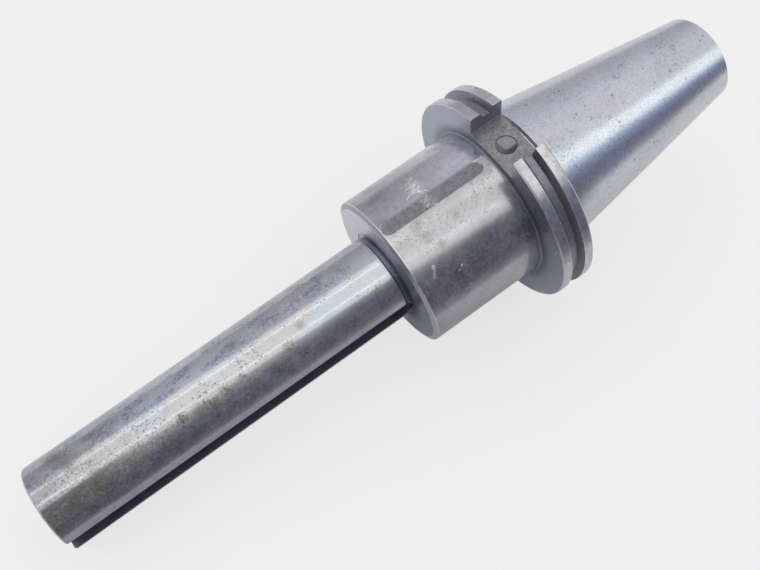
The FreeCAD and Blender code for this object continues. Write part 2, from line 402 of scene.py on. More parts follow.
def put(tree, kind, inputs=None, **settings):
    """Add a node. inputs maps a socket to a value, or to another node's output to link it to."""
    node = tree.nodes.new(kind)
    for name, value in settings.items():
        setattr(node, name, value)
    for socket, value in (inputs or {}).items():
        if isinstance(value, bpy.types.NodeSocket):
            tree.links.new(value, node.inputs[socket])
        else:
            node.inputs[socket].default_value = value
    return node


def maths(tree, operation, first, second=0.0, clamp=False):
    node = put(tree, "ShaderNodeMath", {0: first, 1: second}, operation=operation, use_clamp=clamp)
    return node.outputs[0]


def both(tree, first, second):
    """The product of two values: where both of two masks show, or one mask made weaker."""
    return maths(tree, "MULTIPLY", first, second)


def rest_of(tree, mask):
    """1 where the mask is 0."""
    return maths(tree, "SUBTRACT", 1.0, mask)


def ramp_between(tree, value, low, high):
    """0 below low, 1 above high, smooth between."""
    node = put(
        tree, "ShaderNodeMapRange", {"Value": value, "From Min": low, "From Max": high},
        interpolation_type="SMOOTHSTEP",
    )
    return node.outputs["Result"]


def within(tree, value, low, high):
    """1 where the value lies between low and high, otherwise 0."""
    above = maths(tree, "GREATER_THAN", value, low)
    return both(tree, above, maths(tree, "LESS_THAN", value, high))


def mix_colour(tree, factor, first, second):
    node = put(
        tree, "ShaderNodeMix", {"Factor": factor, 6: first, 7: second}, data_type="RGBA"
    )
    return node.outputs[2]


def combine(tree, masks):
    """The strongest of several masks at each point."""
    result = masks[0]
    for mask in masks[1:]:
        result = maths(tree, "MAXIMUM", result, mask)
    return result


def vectors(tree, operation, first, second=(0.0, 0.0, 0.0), output="Vector"):
    node = put(tree, "ShaderNodeVectorMath", {0: first, 1: second}, operation=operation)
    return node.outputs[output]


def scaled(tree, vector, size):
    return put(
        tree, "ShaderNodeVectorMath", {0: vector, "Scale": size}, operation="SCALE"
    ).outputs["Vector"]


def stretched(tree, place, scale, turn=0.0):
    """A place stretched along each axis, after a turn about Z in radians."""
    return put(tree, "ShaderNodeMapping", {
        "Vector": place, "Rotation": (0.0, 0.0, turn), "Scale": scale,
    }).outputs["Vector"]


def noise(tree, place, fineness, detail=2.0, roughness=0.5):
    return put(tree, "ShaderNodeTexNoise", {
        "Vector": place, "Scale": fineness, "Detail": detail, "Roughness": roughness,
    }).outputs["Fac"]


def wander(tree, place, fineness, detail):
    """A random push about 0 in each direction."""
    cloud = put(tree, "ShaderNodeTexNoise", {
        "Vector": place, "Scale": fineness, "Detail": detail,
    }).outputs["Color"]
    return vectors(tree, "SUBTRACT", cloud, (0.5, 0.5, 0.5))


def coordinates(tree, place):
    """How far a place lies along the tool axis, towards the keyway's side, and upwards."""
    parts = put(tree, "ShaderNodeSeparateXYZ", {"Vector": place})
    return [parts.outputs[axis] for axis in "XYZ"]


def diagonal(tree, first, second):
    """The length of a slanting line, from its reach in two directions."""
    squares = maths(tree, "ADD", both(tree, first, first), both(tree, second, second))
    return maths(tree, "SQRT", squares)


# Effects that several steels share, each a node group

def new_group(name, inputs, output="Mask"):
    """A node group with named sockets: inputs maps a name to its default value."""
    group = bpy.data.node_groups.new(name, "ShaderNodeTree")
    for label, value in inputs.items():
        kind = "NodeSocketVector" if isinstance(value, tuple) else "NodeSocketFloat"
        socket = group.interface.new_socket(label, in_out="INPUT", socket_type=kind)
        socket.default_value = value
    group.interface.new_socket(output, in_out="OUTPUT", socket_type="NodeSocketFloat")
    start = group.nodes.new("NodeGroupInput")
    end = group.nodes.new("NodeGroupOutput")
    return group, start.outputs, end.inputs[output]


def pits_group():
    """Small dark specks of many sizes that gather in patches. Reach is the size of the largest,
    as a share of the room that each one has."""
    group, given, result = new_group("pits", {
        "Place": (0.0, 0.0, 0.0), "Fineness": 900.0, "Patch Fineness": 60.0, "Reach": 0.4,
    })
    ragged = wander(group, given["Place"], both(group, given["Fineness"], 2.2), 2.0)
    ragged = scaled(group, ragged, maths(group, "DIVIDE", 1.0, given["Fineness"]))
    cells = put(group, "ShaderNodeTexVoronoi", {
        "Vector": vectors(group, "ADD", given["Place"], ragged), "Scale": given["Fineness"],
    })
    size = put(group, "ShaderNodeSeparateColor", {"Color": cells.outputs["Color"]}).outputs[0]
    patch = noise(group, given["Place"], given["Patch Fineness"], 3.0, 0.6)
    pull = both(group, maths(group, "SUBTRACT", patch, 0.5), 3.2)
    reach = maths(group, "MINIMUM", maths(group, "ADD", given["Reach"], pull), 0.6)
    reach = maths(group, "MAXIMUM", both(group, reach, size), 0.001)
    clear = ramp_between(
        group, cells.outputs["Distance"], both(group, reach, 0.6), both(group, reach, 1.15)
    )
    group.links.new(rest_of(group, clear), result)
    return group


def stains_group():
    """Soft cloudy patches."""
    group, given, result = new_group("stains", {
        "Place": (0.0, 0.0, 0.0), "Fineness": 40.0, "Level": 0.5, "Blur": 0.15,
    })
    cloud = noise(group, given["Place"], given["Fineness"], 4.0, 0.6)
    low = maths(group, "SUBTRACT", given["Level"], given["Blur"])
    high = maths(group, "ADD", given["Level"], given["Blur"])
    group.links.new(ramp_between(group, cloud, low, high), result)
    return group


def turning_group():
    """The fine rings that turning and grinding leave, on round and flat faces alike."""
    group, given, result = new_group("turning marks", {
        "Place": (0.0, 0.0, 0.0), "Fineness": 3000.0,
    }, "Height")
    along, sideways, upwards = coordinates(group, given["Place"])
    radius = diagonal(group, sideways, upwards)
    rings = put(group, "ShaderNodeCombineXYZ", {"X": along, "Y": radius}).outputs[0]
    group.links.new(noise(group, rings, given["Fineness"], 3.0, 0.7), result)
    return group


def scratches_group():
    """Thin broken lines along one direction, which the place's own stretch sets."""
    group, given, result = new_group("scratches", {
        "Place": (0.0, 0.0, 0.0), "Fineness": 500.0, "Width": 0.012,
    })
    field = noise(group, given["Place"], given["Fineness"], 1.0, 0.5)
    off = maths(group, "ABSOLUTE", maths(group, "SUBTRACT", field, 0.5))
    group.links.new(rest_of(group, ramp_between(group, off, 0.0, given["Width"])), result)
    return group


def rim_wear_and_highlight_group():
    """How near a point is to a turned edge, given by its place on the axis and its radius."""
    group, given, result = new_group("rim wear and highlight", {
        "Place": (0.0, 0.0, 0.0), "Edge Along": 0.0, "Edge Radius": 0.0, "Width": 0.0005,
    })
    along, sideways, upwards = coordinates(group, given["Place"])
    along = maths(group, "SUBTRACT", along, given["Edge Along"])
    out = maths(group, "SUBTRACT", diagonal(group, sideways, upwards), given["Edge Radius"])
    away = diagonal(group, along, out)
    chips = maths(group, "ADD", noise(group, given["Place"], 350.0, 3.0, 0.6), 0.5)
    reach = both(group, given["Width"], chips)
    group.links.new(rest_of(group, ramp_between(group, away, 0.0, reach)), result)
    return group


def spot_group():
    """A round mark with a ragged edge at one place."""
    group, given, result = new_group("spot", {
        "Place": (0.0, 0.0, 0.0), "Centre": (0.0, 0.0, 0.0), "Radius": 0.005,
    })
    away = vectors(group, "DISTANCE", given["Place"], given["Centre"], "Value")
    ragged = both(group, noise(group, given["Place"], 220.0, 3.0, 0.6), 1.6)
    reach = both(group, given["Radius"], ragged)
    group.links.new(rest_of(group, ramp_between(group, away, 0.0, reach)), result)
    return group


def line_group():
    """How far a point is from a straight line between two places."""
    group, given, result = new_group("line", {
        "Place": (0.0, 0.0, 0.0), "Start": (0.0, 0.0, 0.0), "End": (0.001, 0.0, 0.0),
    }, "Distance")
    reach = vectors(group, "SUBTRACT", given["Place"], given["Start"])
    run = vectors(group, "SUBTRACT", given["End"], given["Start"])
    share = maths(
        group, "DIVIDE", vectors(group, "DOT_PRODUCT", reach, run, "Value"),
        vectors(group, "DOT_PRODUCT", run, run, "Value"), clamp=True,
    )
    foot = scaled(group, run, share)
    group.links.new(vectors(group, "DISTANCE", reach, foot, "Value"), result)
    return group


GROUPS = {
    "pits": pits_group(),
    "stains": stains_group(),
    "turning": turning_group(),
    "scratches": scratches_group(),
    "rim wear and highlight": rim_wear_and_highlight_group(),
    "spot": spot_group(),
    "line": line_group(),
}


def use(tree, effect, place, **values):
    """Place a shared effect in a material. Its sockets are named with spaces for underscores."""
    node = tree.nodes.new("ShaderNodeGroup")
    node.node_tree = GROUPS[effect]
    tree.links.new(place, node.inputs["Place"])
    for name, value in values.items():
        socket = node.inputs[name.replace("_", " ").title()]
        if isinstance(value, bpy.types.NodeSocket):
            tree.links.new(value, socket)
        else:
            socket.default_value = value
    return node.outputs[0]


class Steel:
    """A steel under construction: layers go on one by one, and finish links them to the shader."""

    def __init__(self, name, colour, roughness):
        self.material = bpy.data.materials.new(name)
        self.material.use_nodes = True
        self.tree = self.material.node_tree
        self.shader = next(
            node for node in self.tree.nodes if node.type == "BSDF_PRINCIPLED"
        )
        self.place = put(self.tree, "ShaderNodeTexCoord").outputs["Object"]
        self.along, self.sideways, self.upwards = coordinates(self.tree, self.place)
        self.radius = diagonal(self.tree, self.sideways, self.upwards)
        self.colour = put(self.tree, "ShaderNodeRGB").outputs[0]
        self.colour.default_value = (*colour, 1)
        self.roughness = put(self.tree, "ShaderNodeValue").outputs[0]
        self.roughness.default_value = roughness
        self.metal = put(self.tree, "ShaderNodeValue").outputs[0]
        self.metal.default_value = 1.0
        self.height = None

    def layer(self, mask, colour=None, rougher=0.0, less_metal=0.0, strength=1.0):
        """Cover what the mask shows with a colour, and change the gloss there."""
        if strength != 1.0:
            mask = both(self.tree, mask, strength)
        if colour:
            self.colour = mix_colour(self.tree, mask, self.colour, (*colour, 1))
        if rougher:
            change = both(self.tree, mask, rougher)
            self.roughness = maths(self.tree, "ADD", self.roughness, change, clamp=True)
        if less_metal:
            change = both(self.tree, mask, less_metal)
            self.metal = maths(self.tree, "SUBTRACT", self.metal, change, clamp=True)

    def raise_surface(self, mask, height):
        """Lift the surface where the mask shows, by a height in metres; it sinks below 0."""
        change = both(self.tree, mask, height)
        if self.height is None:
            self.height = change
        else:
            self.height = maths(self.tree, "ADD", self.height, change)

    def stains(self, fineness, level, blur, place=None):
        """Cloudy patches. A higher level leaves fewer of them."""
        return use(
            self.tree, "stains", place or self.place, fineness=fineness, level=level, blur=blur
        )

    def spots(self, places):
        """The masks of round marks, each given by its place and its radius in millimetres."""
        return [
            use(self.tree, "spot", self.place, centre=in_metres(centre), radius=radius * MM)
            for centre, radius in places
        ]

    def finish(self):
        links = self.tree.links
        links.new(self.colour, self.shader.inputs["Base Color"])
        links.new(self.roughness, self.shader.inputs["Roughness"])
        links.new(self.metal, self.shader.inputs["Metallic"])
        if self.height is not None:
            bump = put(self.tree, "ShaderNodeBump", {"Height": self.height, "Distance": 1.0})
            links.new(bump.outputs["Normal"], self.shader.inputs["Normal"])
        return self.material


def in_metres(place):
    return tuple(value * MM for value in place)


PIT_COLOUR = (0.105, 0.105, 0.095)
RUST_COLOUR = (0.16, 0.085, 0.05)
# Worn edges: partly real wear, partly a painted highlight
WORN_AND_HIGHLIGHT_COLOUR = (0.78, 0.79, 0.80)
SCRATCH_COLOUR = (0.70, 0.70, 0.69)
DULL_COLOUR = (0.20, 0.20, 0.21)
# Painted shade, for roots, fillets, the seat ring and recess edges
PAINTED_SHADE_COLOUR = (0.13, 0.13, 0.17)


def add_pits(steel, reach, fineness, patch_fineness, strength):
    mask = use(
        steel.tree, "pits", steel.place,
        fineness=fineness, patch_fineness=patch_fineness, reach=reach,
    )
    steel.layer(mask, PIT_COLOUR, rougher=0.05, less_metal=0.4, strength=strength)


def add_grain(steel, strength):
    """The fine uneven grey of bare steel that has been handled for years."""
    steel.layer(steel.stains(2300.0, 0.52, 0.16), DULL_COLOUR, strength=strength)


def add_skin(steel, fineness, amount):
    """The dull skin of old oil and handling. It shows where bare steel mirrors the dark side of
    the room, and hardly where the steel mirrors a lamp."""
    steel.layer(steel.stains(fineness, 0.5, 0.13), less_metal=amount)


def add_turning(steel, fineness, height):
    steel.raise_surface(use(steel.tree, "turning", steel.place, fineness=fineness), height)


# Bright turned edges: partly real wear, partly a painted highlight along each edge
def add_rim_wear_and_highlight(steel, rims, width=0.4 * MM, strength=0.45):
    masks = [
        use(steel.tree, "rim wear and highlight", steel.place, edge_along=x, edge_radius=radius, width=width)
        for x, radius in rims
    ]
    steel.layer(combine(steel.tree, masks), WORN_AND_HIGHLIGHT_COLOUR, rougher=-0.05, strength=strength)


def along_line(tree, place, line, width):
    """1 on a line between two places in millimetres, fading to 0 at its width."""
    start, end = line
    away = use(tree, "line", place, start=in_metres(start), end=in_metres(end))
    return rest_of(tree, ramp_between(tree, away, width * 0.3, width))


# Dark specks on the taper: where each one is, and its radius, in millimetres
TAPER_SPOTS = [
    ((-24.3, -11.4, 29.2), 1.1),
    ((-26.5, -11.0, 29.0), 1.1),
    ((-28.4, -10.4, 28.9), 1.0),
    ((-95.2, 3.5, 20.7), 1.2),
    ((-83.5, -0.7, 22.7), 1.1),
    ((-42.6, 4.2, 28.4), 1.3),
    ((-10.8, -13.5, 30.5), 1.2),
]


def taper_steel():
    steel = Steel("ground taper steel", (0.65, 0.65, 0.675), 0.2)
    steel.layer(steel.stains(30.0, 0.5, 0.2), (0.58, 0.58, 0.60), rougher=0.02)
    steel.layer(steel.stains(95.0, 0.56, 0.1), (0.60, 0.575, 0.56), strength=0.6)
    steel.layer(steel.stains(75.0, 0.55, 0.1), (0.52, 0.57, 0.60), strength=0.5)
    add_turning(steel, 2600.0, 0.0004 * MM)
    add_grain(steel, 0.25)
    add_skin(steel, 700.0, 0.08)
    steel.layer(steel.stains(1150.0, 0.55, 0.08), (0.33, 0.37, 0.45), strength=0.4)
    steel.layer(steel.stains(600.0, 0.6, 0.08), (0.30, 0.33, 0.40), strength=0.2)
    add_pits(steel, 0.2, fineness=1000.0, patch_fineness=70.0, strength=0.33)
    add_pits(steel, 0.12, fineness=480.0, patch_fineness=150.0, strength=0.4)
    for spot in steel.spots(TAPER_SPOTS):
        steel.layer(spot, PIT_COLOUR, rougher=0.2, less_metal=0.3, strength=0.8)
    add_rim_wear_and_highlight(steel, [(TAIL_X + TAIL_CHAMFER, GAUGE_R + TAIL_X * TAPER_SLOPE)])
    return steel.finish()


def add_slot_grime_and_shade(steel):
    """The two slots' floors are oily and dark, and their walls carry painted shade. Returns the
    mask of the upper one's floor.
    """
    tree = steel.tree
    across = maths(tree, "ABSOLUTE", steel.sideways)
    height = maths(tree, "ABSOLUTE", steel.upwards)
    wall_starts = SLOT_WIDTH / 2 - 0.3 * MM
    narrow = maths(tree, "LESS_THAN", across, wall_starts)
    low = within(tree, height, SLOT_FLOOR - 4 * MM, SLOT_FLOOR + 0.3 * MM)
    on_floor = both(tree, narrow, low)
    steel.layer(on_floor, (0.225, 0.222, 0.215), rougher=0.12, less_metal=0.1, strength=0.85)
    for fineness, level, colour in (
        (260.0, 0.5, (0.30, 0.295, 0.285)),
        (420.0, 0.54, (0.17, 0.16, 0.20)),
        (800.0, 0.55, (0.10, 0.097, 0.092)),
    ):
        oily = both(tree, on_floor, steel.stains(fineness, level, 0.1))
        steel.layer(oily, colour, strength=0.55)
    # Painted shade on the slot walls
    on_wall = both(
        tree, within(tree, across, wall_starts, SLOT_WIDTH / 2 + 0.1 * MM),
        maths(tree, "GREATER_THAN", height, SLOT_FLOOR),
    )
    steel.layer(on_wall, (0.20, 0.205, 0.31), rougher=0.12, strength=0.85)
    return both(tree, on_floor, maths(tree, "GREATER_THAN", steel.upwards, 0.0))


def slanting(tree, place, direction):
    """How far a place lies in one direction."""
    return vectors(tree, "DOT_PRODUCT", place, direction, "Value")


def add_dimple_grit_and_shade(steel, floor):
    """The drilled hole, with painted shade: it is left bright towards the taper and away from the
    keyway, darkened on the other side and darkest towards the keyway, with fine grit in it. A
    painted shadow runs along its rim on the bright side, and a painted highlight along the lip
    beyond the shaded side."""
    tree = steel.tree
    from_hole = put(tree, "ShaderNodeCombineXYZ", {
        "X": maths(tree, "SUBTRACT", steel.along, FLANGE_MIDDLE_X), "Y": steel.sideways,
    }).outputs[0]
    away = put(tree, "ShaderNodeVectorMath", {0: from_hole}, operation="LENGTH").outputs["Value"]
    in_hole = both(tree, floor, maths(tree, "LESS_THAN", away, DIMPLE_R))
    steel.layer(in_hole, (0.26, 0.255, 0.28), rougher=0.15, less_metal=0.3, strength=0.9)
    # Painted shade on the side of the hole towards the nose and the keyway
    back = slanting(tree, from_hole, (-0.7, -0.7, 0.0))
    side = slanting(tree, from_hole, (-0.7, 0.7, 0.0))
    spread = both(tree, maths(tree, "ABSOLUTE", side), 0.5)
    unshaded = ramp_between(tree, maths(tree, "SUBTRACT", back, spread), -1.3 * MM, -0.6 * MM)
    painted_shade = both(tree, in_hole, rest_of(tree, unshaded))
    steel.layer(painted_shade, (0.125, 0.12, 0.14), strength=0.9)
    painted_deep_shade = both(tree, painted_shade, ramp_between(tree, side, -1.5 * MM, 2.0 * MM))
    steel.layer(painted_deep_shade, (0.05, 0.05, 0.048), strength=0.8)
    grit = both(tree, in_hole, steel.stains(900.0, 0.5, 0.1))
    steel.layer(grit, (0.12, 0.115, 0.12), strength=0.35)
    # Painted shadow along the rim, and a painted highlight on the lip
    edge = both(tree, floor, within(tree, away, DIMPLE_R - 0.35 * MM, DIMPLE_R + 0.02 * MM))
    edge = both(tree, edge, ramp_between(tree, back, 0.0, 2.0 * MM))
    steel.layer(edge, (0.02, 0.02, 0.025), strength=0.9)
    lip = both(tree, floor, within(tree, away, DIMPLE_R + 0.02 * MM, DIMPLE_R + 0.35 * MM))
    lip = both(tree, lip, maths(tree, "LESS_THAN", back, -0.5 * MM))
    steel.layer(lip, (0.40, 0.40, 0.41), strength=0.4)


def add_vee_grit_and_shade(steel):
    """The V groove has painted shade all round, darkest on its rear flank beside the upper slot,
    and fine grit in it.
    """
    tree = steel.tree
    off_middle = maths(tree, "ABSOLUTE", maths(tree, "SUBTRACT", steel.along, FLANGE_MIDDLE_X))
    in_vee = both(
        tree,
        within(tree, steel.radius, FLANGE_R - VEE_DEPTH - 0.2 * MM, FLANGE_R - 0.15 * MM),
        maths(tree, "LESS_THAN", off_middle, VEE_WIDTH / 2 - 0.05 * MM),
    )
    # Painted shade in the groove, then deeper painted shade on the rear flank on the keyway's side
    steel.layer(in_vee, (0.18, 0.18, 0.225), rougher=0.05, less_metal=0.25, strength=0.85)
    rear_flank = maths(
        tree, "LESS_THAN", steel.along, FLANGE_MIDDLE_X - VEE_WIDTH / 2 + VEE_FLANK + 0.1 * MM
    )
    keyway_side = ramp_between(tree, steel.sideways, 0.0, SLOT_WIDTH / 2)
    painted_shade = both(tree, both(tree, in_vee, rear_flank), keyway_side)
    steel.layer(painted_shade, (0.10, 0.092, 0.12), rougher=0.2, strength=0.5)
    beside_slot = rest_of(tree, ramp_between(tree, steel.sideways, 14 * MM, 26 * MM))
    steel.layer(both(tree, painted_shade, beside_slot), (0.045, 0.038, 0.06), strength=0.75)
    grit = both(tree, in_vee, steel.stains(600.0, 0.52, 0.12))
    steel.layer(grit, (0.10, 0.10, 0.11), less_metal=0.3, strength=0.4)


def flange_steel():
    steel = Steel("flange steel", (0.44, 0.44, 0.47), 0.24)
    tree = steel.tree
    steel.layer(steel.stains(55.0, 0.5, 0.2), (0.35, 0.35, 0.38), rougher=0.02)
    add_turning(steel, 2200.0, 0.0005 * MM)
    add_grain(steel, 0.28)
    add_skin(steel, 500.0, 0.1)
    add_dimple_grit_and_shade(steel, add_slot_grime_and_shade(steel))
    add_vee_grit_and_shade(steel)
    on_front = maths(tree, "GREATER_THAN", steel.along, FLANGE_FRONT_X - 0.05 * MM)
    steel.layer(on_front, (0.36, 0.385, 0.47), rougher=0.03, strength=0.75)
    # Painted highlight: the rims are brightened, the front rim less so
    on_rim = maths(tree, "GREATER_THAN", steel.radius, FLANGE_R - 0.2 * MM)
    steel.layer(on_rim, (0.56, 0.55, 0.555), rougher=-0.02, strength=0.8)
    front_rim = both(tree, on_rim, maths(tree, "GREATER_THAN", steel.along, FLANGE_MIDDLE_X))
    steel.layer(front_rim, (0.40, 0.395, 0.41), strength=0.45)
    rim_stains = both(tree, on_rim, steel.stains(330.0, 0.54, 0.12))
    steel.layer(rim_stains, (0.30, 0.28, 0.28), less_metal=0.1, strength=0.5)
    add_pits(steel, 0.15, fineness=1000.0, patch_fineness=90.0, strength=0.45)
    # Painted shade on the front face around the collar's root
    root = rest_of(tree, ramp_between(
        tree, steel.radius, COLLAR_R + COLLAR_FILLET, COLLAR_R + 6.5 * MM))
    steel.layer(both(tree, root, on_front), PAINTED_SHADE_COLOUR, rougher=0.1, strength=0.7)
    add_rim_wear_and_highlight(steel, [
        (FLANGE_FRONT_X - FLANGE_CHAMFER / 2, FLANGE_R - FLANGE_CHAMFER / 2),
        (FLANGE_REAR_X + FLANGE_CHAMFER / 2, FLANGE_R - FLANGE_CHAMFER / 2),
        (FLANGE_MIDDLE_X - VEE_WIDTH / 2, FLANGE_R),
        (FLANGE_MIDDLE_X + VEE_WIDTH / 2, FLANGE_R),
    ], width=0.32 * MM, strength=0.5)
    return steel.finish()


# Marks on the collar, in millimetres. Bright scratches, each from one place to another.
SCRATCHES = [
    ((54.4, -13.3, 32.3), (50.3, -12.8, 32.5)),
    ((53.8, -11.0, 33.1), (47.8, -10.6, 33.3)),
    ((56.5, -6.4, 34.3), (48.1, -11.4, 33.0)),
    ((53.9, -7.4, 34.1), (48.7, -8.6, 33.9)),
    ((52.4, -6.9, 34.2), (49.3, -7.4, 34.1)),
    ((51.5, -6.9, 34.2), (47.8, -5.1, 34.5)),
    ((50.2, -15.6, 31.3), (46.9, -14.9, 31.6)),
    ((51.7, -11.8, 32.9), (48.3, -12.1, 32.8)),
    ((50.6, -7.7, 34.1), (50.0, -4.7, 34.6)),
    ((53.0, -7.8, 34.0), (49.4, -8.9, 33.8)),
    ((51.0, -13.6, 32.2), (48.3, -14.3, 31.9)),
    ((52.9, -2.8, 34.8), (49.0, -2.2, 34.9)),
    ((52.9, -1.6, 34.9), (47.3, 0.0, 34.9)),
    ((53.2, 0.3, 34.9), (48.2, 2.8, 34.8)),
    ((56.9, 26.7, 22.5), (55.6, 26.5, 22.7)),
    ((54.7, 25.9, 23.4), (53.7, 25.6, 23.8)),
]

# A broad dull rub, and a streak of rust beside the flange
RUB = ((64.4, 21.0, 27.9), (66.2, 24.0, 25.4))
RUST_STREAK = ((20.3, 11.8, 32.9), (20.5, 15.8, 31.1))

# Rubbed patches and dark blotches: where each one is, and its radius
RUBBED = [
    ((50.8, -9.5, 33.6), 7.5),
    ((50.3, -0.5, 34.9), 5.0),
    ((64.6, 21.2, 27.8), 2.0),
]
BLOTCHES = [
    ((61, 6, 34.4), 6),
    ((56.4, 26.3, 23.0), 5),
    ((30, -22, 27), 7),
    ((60, 11.1, 33.1), 5),
    ((57, 16.3, 30.9), 4),
    ((70, -3.8, 34.7), 5),
    ((17, 20.7, 28.1), 5),
    ((48, 23.4, 25.9), 6),
    ((45, 10.5, 33.3), 3.5),
    ((65, -17.0, 30.5), 9),
    ((63, -24.5, 24.9), 8),
]


def add_scuffs(steel, broken):
    """The rubbed patches beside the panel: fine slanted lines, with some single scratches."""
    tree = steel.tree
    turned = stretched(tree, steel.place, (1.0, 1.0, 1.0), turn=math.radians(-25))
    hatch = use(
        tree, "scratches", stretched(tree, turned, (0.07, 1.0, 1.0)), fineness=1500.0, width=0.05
    )
    rubbed = combine(tree, steel.spots(RUBBED))
    wobble = scaled(tree, wander(tree, steel.place, 300.0, 1.0), 0.2 * MM)
    wavy = vectors(tree, "ADD", steel.place, wobble)
    single = combine(tree, [along_line(tree, wavy, line, 0.3 * MM) for line in SCRATCHES])
    bright = combine(tree, [both(tree, hatch, rubbed), both(tree, single, broken)])
    steel.layer(bright, SCRATCH_COLOUR, rougher=0.3, less_metal=0.75)
    steel.layer(rubbed, SCRATCH_COLOUR, rougher=0.1, less_metal=0.2, strength=0.12)
    rub = along_line(tree, wavy, RUB, 1.1 * MM)
    steel.layer(rub, SCRATCH_COLOUR, rougher=0.1, less_metal=0.4, strength=0.38)


def add_panel_dirt_and_shading(steel):
    """The panel's floor is dark. Its edge has painted shade towards the keyway and a painted
    highlight on the other side."""
    tree = steel.tree
    on_panel = both(
        tree, maths(tree, "LESS_THAN", steel.radius, COLLAR_R - 0.08 * MM),
        maths(tree, "GREATER_THAN", steel.upwards, COLLAR_R - 1.2 * MM),
    )
    steel.layer(on_panel, (0.152, 0.149, 0.166), rougher=0.12, less_metal=0.1, strength=0.85)
    for fineness, level, colour in (
        (650.0, 0.53, (0.09, 0.085, 0.095)), (1000.0, 0.58, (0.31, 0.31, 0.28)),
    ):
        dirt = both(tree, on_panel, steel.stains(fineness, level, 0.1))
        steel.layer(dirt, colour, strength=0.5)
    low_x = FLANGE_FRONT_X + PANEL_SETBACK + PANEL_WIDTH / 2
    high_x = low_x + PANEL_LENGTH - PANEL_WIDTH
    flat_place = stretched(tree, steel.place, (1.0, 1.0, 0.0))
    from_middle = use(
        tree, "line", flat_place, start=(low_x, -PANEL_OFFSET, 0), end=(high_x, -PANEL_OFFSET, 0)
    )
    # Painted shade on the panel's edge towards the keyway, and a painted highlight on the other
    # side
    rim = within(tree, from_middle, PANEL_WIDTH / 2 - 0.3 * MM, PANEL_WIDTH / 2 + 0.25 * MM)
    rim = both(tree, rim, maths(tree, "GREATER_THAN", steel.upwards, 0.0))
    dark_rim = both(tree, rim, maths(tree, "GREATER_THAN", steel.sideways, -PANEL_OFFSET))
    light_rim = maths(tree, "SUBTRACT", rim, dark_rim)
    steel.layer(dark_rim, PAINTED_SHADE_COLOUR, rougher=0.1, strength=0.6)
    steel.layer(light_rim, (0.52, 0.52, 0.54), rougher=0.1, strength=0.5)


def add_face_finish_and_shading(steel):
    """The ground face that the cutter clamps against, with its seat ring and its shallow edge.
    Painted shade darkens the face towards the keyway's side, at the arbor's root and in the seat
    ring; the edge is painted light on the keyway's side and darker elsewhere.
    """
    tree = steel.tree
    on_face = maths(tree, "GREATER_THAN", steel.along, SHOULDER_X - 0.05 * MM)
    steel.layer(on_face, (0.66, 0.665, 0.69), rougher=0.17, strength=0.9)
    # Painted shade towards the keyway's side
    shaded = both(tree, on_face, ramp_between(tree, steel.sideways, -9 * MM, 12 * MM))
    steel.layer(shaded, (0.28, 0.30, 0.38), strength=0.85)
    # Painted shade at the arbor's root and in the seat ring
    root = rest_of(tree, ramp_between(
        tree, steel.radius, ARBOR_R + 0.5 * MM, ARBOR_R + 8 * MM))
    root = both(tree, root, ramp_between(tree, steel.sideways, -13 * MM, -7 * MM))
    steel.layer(both(tree, root, on_face), PAINTED_SHADE_COLOUR, rougher=0.3, strength=0.8)
    at_ring = maths(tree, "LESS_THAN", steel.radius, ARBOR_R + SEAT_RING_WIDTH + 0.1 * MM)
    at_ring = both(tree, at_ring, ramp_between(tree, steel.sideways, -20 * MM, -8 * MM))
    steel.layer(at_ring, PAINTED_SHADE_COLOUR, rougher=0.4, strength=0.85)
    # The edge: painted darker, and painted light on the keyway's side
    on_edge = both(
        tree, maths(tree, "GREATER_THAN", steel.along, SHOULDER_X - COLLAR_EDGE_LENGTH),
        maths(tree, "GREATER_THAN", steel.radius, COLLAR_R - COLLAR_EDGE_DEPTH),
    )
    steel.layer(on_edge, (0.31, 0.30, 0.34), rougher=0.1, strength=0.7)
    lower_edge = both(tree, on_edge, ramp_between(tree, steel.sideways, 12 * MM, 24 * MM))
    steel.layer(lower_edge, (0.62, 0.61, 0.66), strength=0.8)
    add_rim_wear_and_highlight(steel, [(SHOULDER_X - COLLAR_EDGE_LENGTH, COLLAR_R)], strength=0.8)
    add_rim_wear_and_highlight(
        steel, [(SHOULDER_X, COLLAR_R - COLLAR_EDGE_DEPTH)], width=0.3 * MM, strength=0.4
    )


